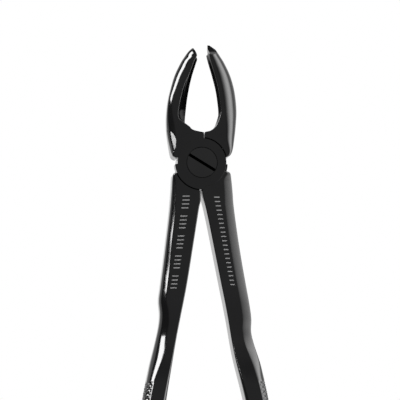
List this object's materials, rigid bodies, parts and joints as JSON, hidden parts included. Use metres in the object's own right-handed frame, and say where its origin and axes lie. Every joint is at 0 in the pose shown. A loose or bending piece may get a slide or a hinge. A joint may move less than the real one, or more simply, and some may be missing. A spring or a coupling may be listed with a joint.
{
  "type": "extraction forceps",
  "caption": "Screw-joint tooth extraction forceps with a plain beak and a pointed beak, long spread handles and a slotted pivot screw.",
  "frame": {"origin": "on the pivot axis, at the flat back of the joint, which is the plane the forceps rest on", "axes": "+Y from the handles towards the beaks, +Z out of the joint's front face along the pivot axis, +X to the right seen from the front"},
  "size_m": [0.0458, 0.1763, 0.0122],
  "materials": {
    "black_coated_steel": "gloss black coating on forged stainless steel",
    "screw_steel": "satin black coating on turned steel"
  },
  "bodies": {
    "back_and_screw": {"back_half": "black_coated_steel", "pivot_screw": "screw_steel"},
    "front": {"front_half": "black_coated_steel"}
  },
  "joints": [
    {"name": "pivot", "type": "hinge", "parent": "back_and_screw", "child": "front", "pos_m": [0, 0, 0.0045], "axis": [0, 0, 1], "range_deg": [-1.2, 25]}
  ]
}
